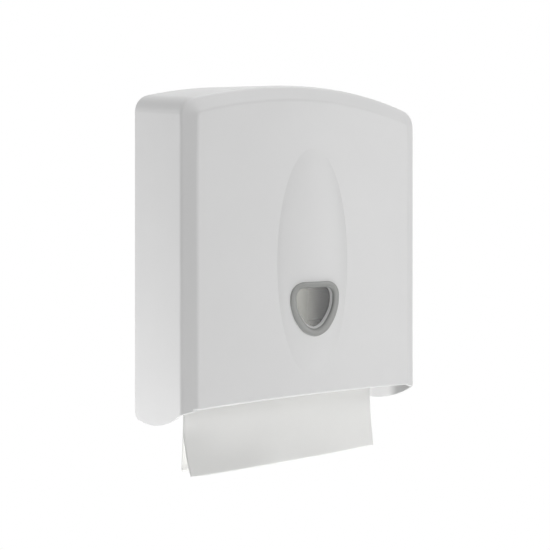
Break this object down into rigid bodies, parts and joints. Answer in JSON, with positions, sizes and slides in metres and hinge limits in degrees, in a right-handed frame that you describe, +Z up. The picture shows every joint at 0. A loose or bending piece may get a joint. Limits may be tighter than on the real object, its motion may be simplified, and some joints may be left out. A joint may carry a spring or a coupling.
{
  "type": "folded paper towel dispenser",
  "caption": "Wall-hung dispenser for folded paper hand towels: arched, bevelled cover with a raised oval and a level window, a towel hanging from its underside, keyed lid lock.",
  "frame": {"origin": "middle of the four wall screws, on the wall", "axes": "+Z up, -Y out of the front, +X to the right as one faces the dispenser"},
  "size_m": [0.29, 0.1462, 0.4194],
  "materials": {
    "cover_plastic": "satin white ABS",
    "plate_plastic": "matte white ABS",
    "tray_plastic": "matte dark grey ABS",
    "bezel_plastic": "satin grey ABS",
    "smoked_pane": "smoke-tinted clear styrene",
    "steel": "zinc-plated steel",
    "lock_chrome": "chrome-plated zinc",
    "towel_paper": "soft white tissue"
  },
  "bodies": {
    "wall_unit": {"back_plate": "plate_plastic", "hinge_pin_left": "steel", "hinge_pin_right": "steel", "paper_tray": "tray_plastic", "tray_screws": "steel", "guide_rail_left": "tray_plastic", "guide_rail_right": "tray_plastic", "guide_screws": "steel", "catch_plate": "steel", "catch_screws": "steel", "towel_stack": "towel_paper"},
    "cover": {"front_cover": "cover_plastic", "window_bezel": "bezel_plastic", "window_pane": "smoked_pane", "lock_body": "lock_chrome", "lock_washer": "steel", "lock_nut": "steel"},
    "lock": {"lock_barrel": "lock_chrome", "lock_cam": "steel", "lock_cam_screw": "steel"},
    "towel": {"towel_front_leaf": "towel_paper", "towel_rear_leaf": "towel_paper"}
  },
  "joints": [
    {"name": "cover_hinge", "type": "hinge", "parent": "wall_unit", "child": "cover", "pos_m": [0, -0.016, -0.177], "axis": [1, 0, 0], "range_deg": [0, 95]},
    {"name": "lock_turn", "type": "hinge", "parent": "cover", "child": "lock", "pos_m": [0, -0.03, 0.165], "axis": [0, 0, 1], "range_deg": [0, 90]},
    {"name": "towel_pull", "type": "slide", "parent": "wall_unit", "child": "towel", "axis": [0, 0, -1], "range_m": [0, 0.03]}
  ]
}
